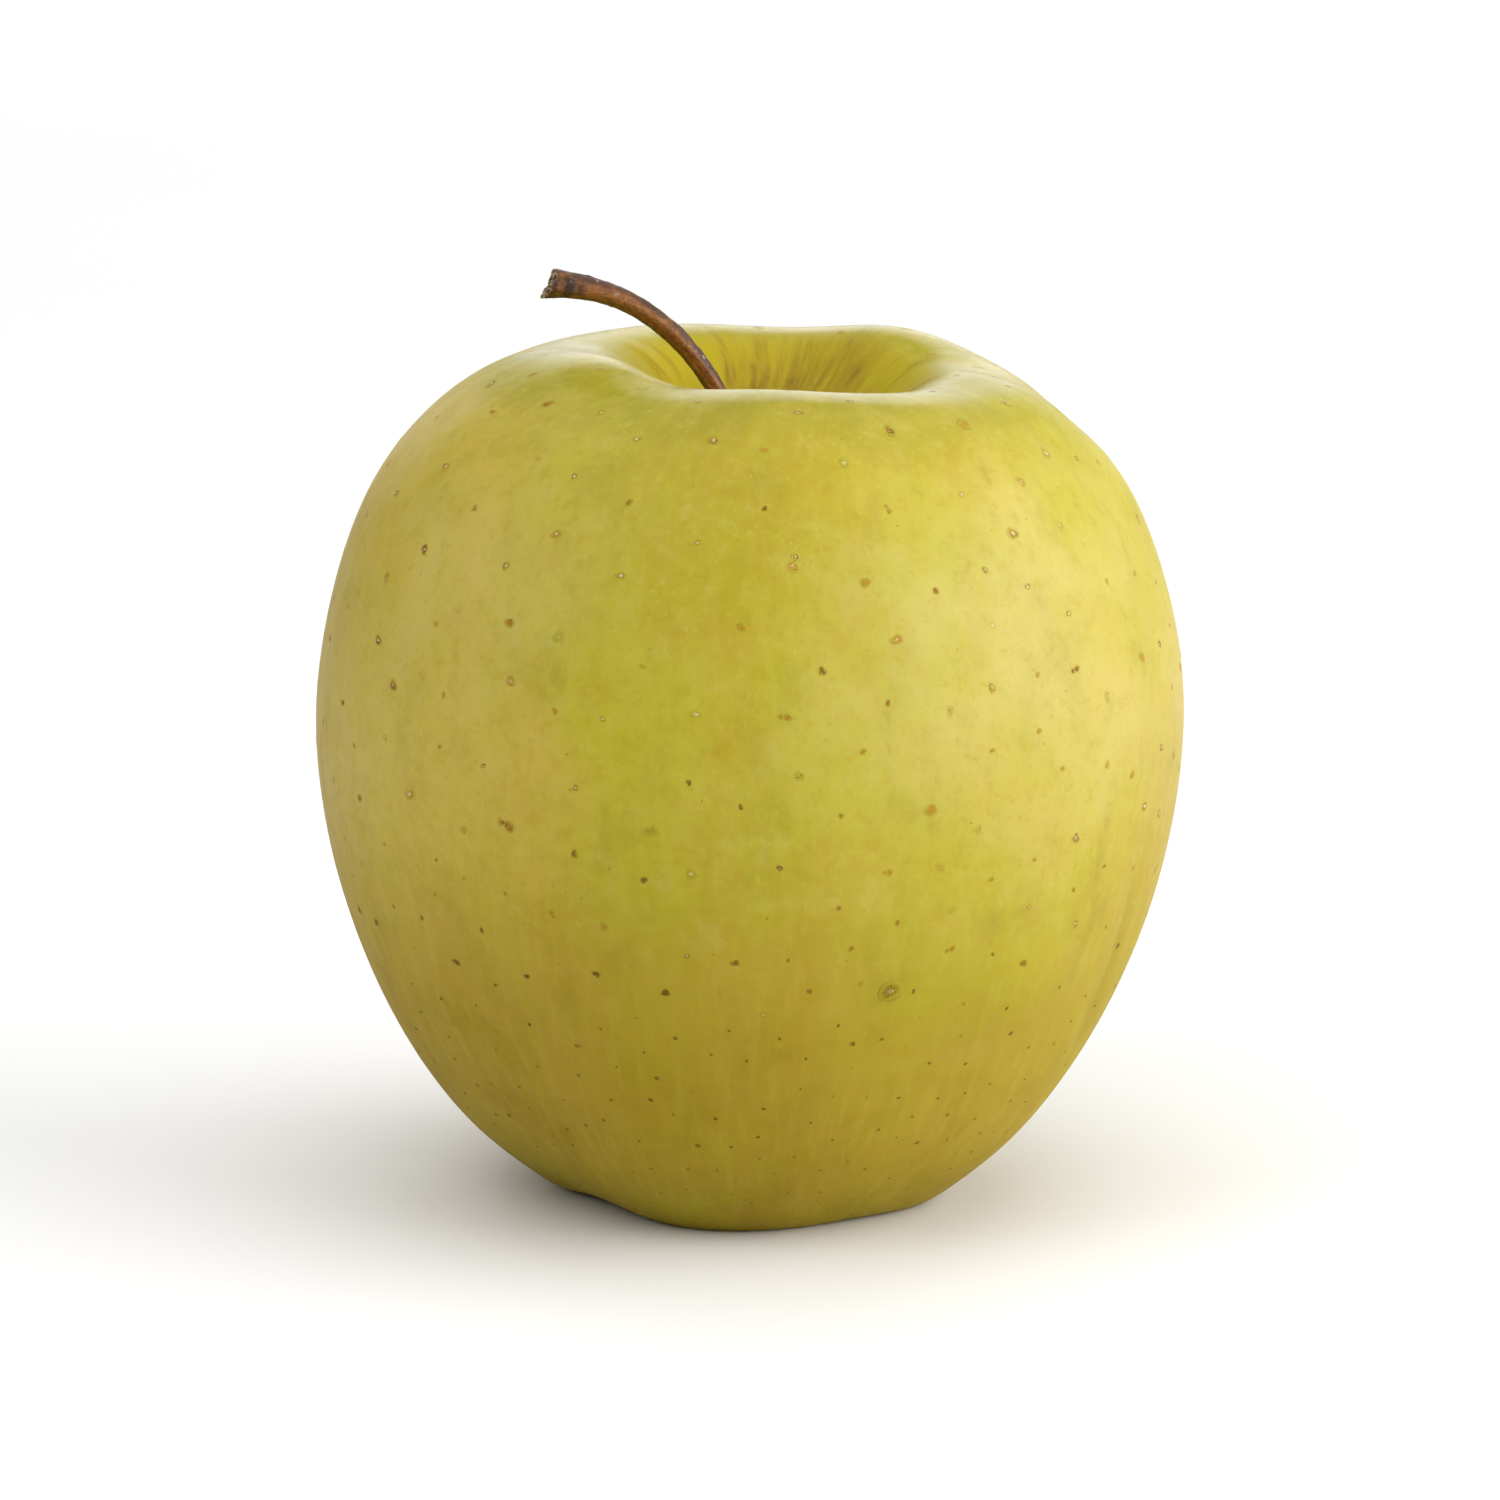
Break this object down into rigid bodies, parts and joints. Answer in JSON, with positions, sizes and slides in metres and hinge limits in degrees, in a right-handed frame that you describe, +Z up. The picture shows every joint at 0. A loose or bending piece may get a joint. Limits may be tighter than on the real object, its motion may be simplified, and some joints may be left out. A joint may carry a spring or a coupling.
{
  "type": "apple",
  "caption": "Whole yellow-green apple standing on its own lobes, with a deep stem cavity, a curved woody stalk and a dried calyx underneath.",
  "frame": {"origin": "on the ground, under the middle of the object's bounding box", "axes": "+Z up from the calyx to the stem, +X to the side opposite the stem's lean, -Y towards the lobe that is seen from the front"},
  "size_m": [0.0764, 0.0764, 0.0821],
  "materials": {
    "skin": "waxy fruit skin, semi-gloss, yellow-green with fine brown spots",
    "stem_bark": "thin brown bark, slightly glossy",
    "dried_calyx": "dry, matt, downy leaf tissue",
    "dried_stamens": "dry, matt fibres"
  },
  "bodies": {
    "root": {"fruit": "skin", "stem": "stem_bark", "sepal_1": "dried_calyx", "sepal_2": "dried_calyx", "sepal_3": "dried_calyx", "sepal_4": "dried_calyx", "sepal_5": "dried_calyx", "stamen_tuft": "dried_stamens"}
  },
  "joints": []
}
